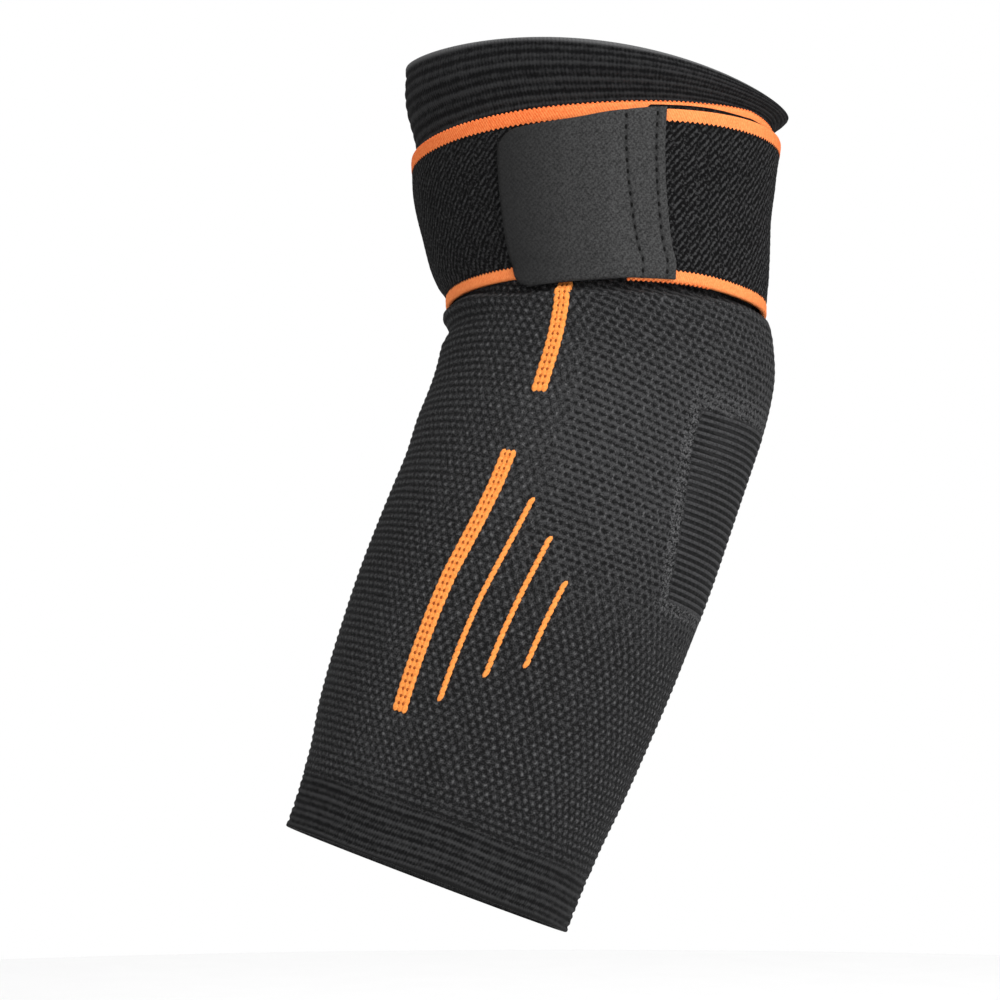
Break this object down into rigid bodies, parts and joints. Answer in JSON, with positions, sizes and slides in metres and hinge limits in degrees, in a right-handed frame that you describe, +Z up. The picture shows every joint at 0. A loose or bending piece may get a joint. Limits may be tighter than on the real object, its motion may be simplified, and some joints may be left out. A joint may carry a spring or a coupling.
{
  "type": "elbow brace",
  "caption": "Knitted elbow support sleeve with ribbed cuffs, orange knitted stripes and a wrap-around elastic strap closed by a hook tab, in its worn form",
  "frame": {"origin": "the middle of the elbow, on the axis of the arm inside the sleeve, where the worn brace is held", "axes": "+Z up along the brace with the upper arm's end on top; +X to the back of the elbow, -X to its crease; -Y to the side on which the strap closes"},
  "size_m": [0.1508, 0.1209, 0.2651],
  "materials": {
    "knit": "matte knit, black and dark grey, with orange stripes",
    "ribbed_knit": "matte ribbed knit, black",
    "elastic": "woven elastic, black, with orange edges",
    "hook_tape": "brushed hook tape, dark grey"
  },
  "bodies": {
    "root": {"sleeve": "knit", "upper_cuff": "ribbed_knit", "lower_cuff": "ribbed_knit", "strap": "elastic", "hook_tab": "hook_tape"}
  },
  "joints": []
}
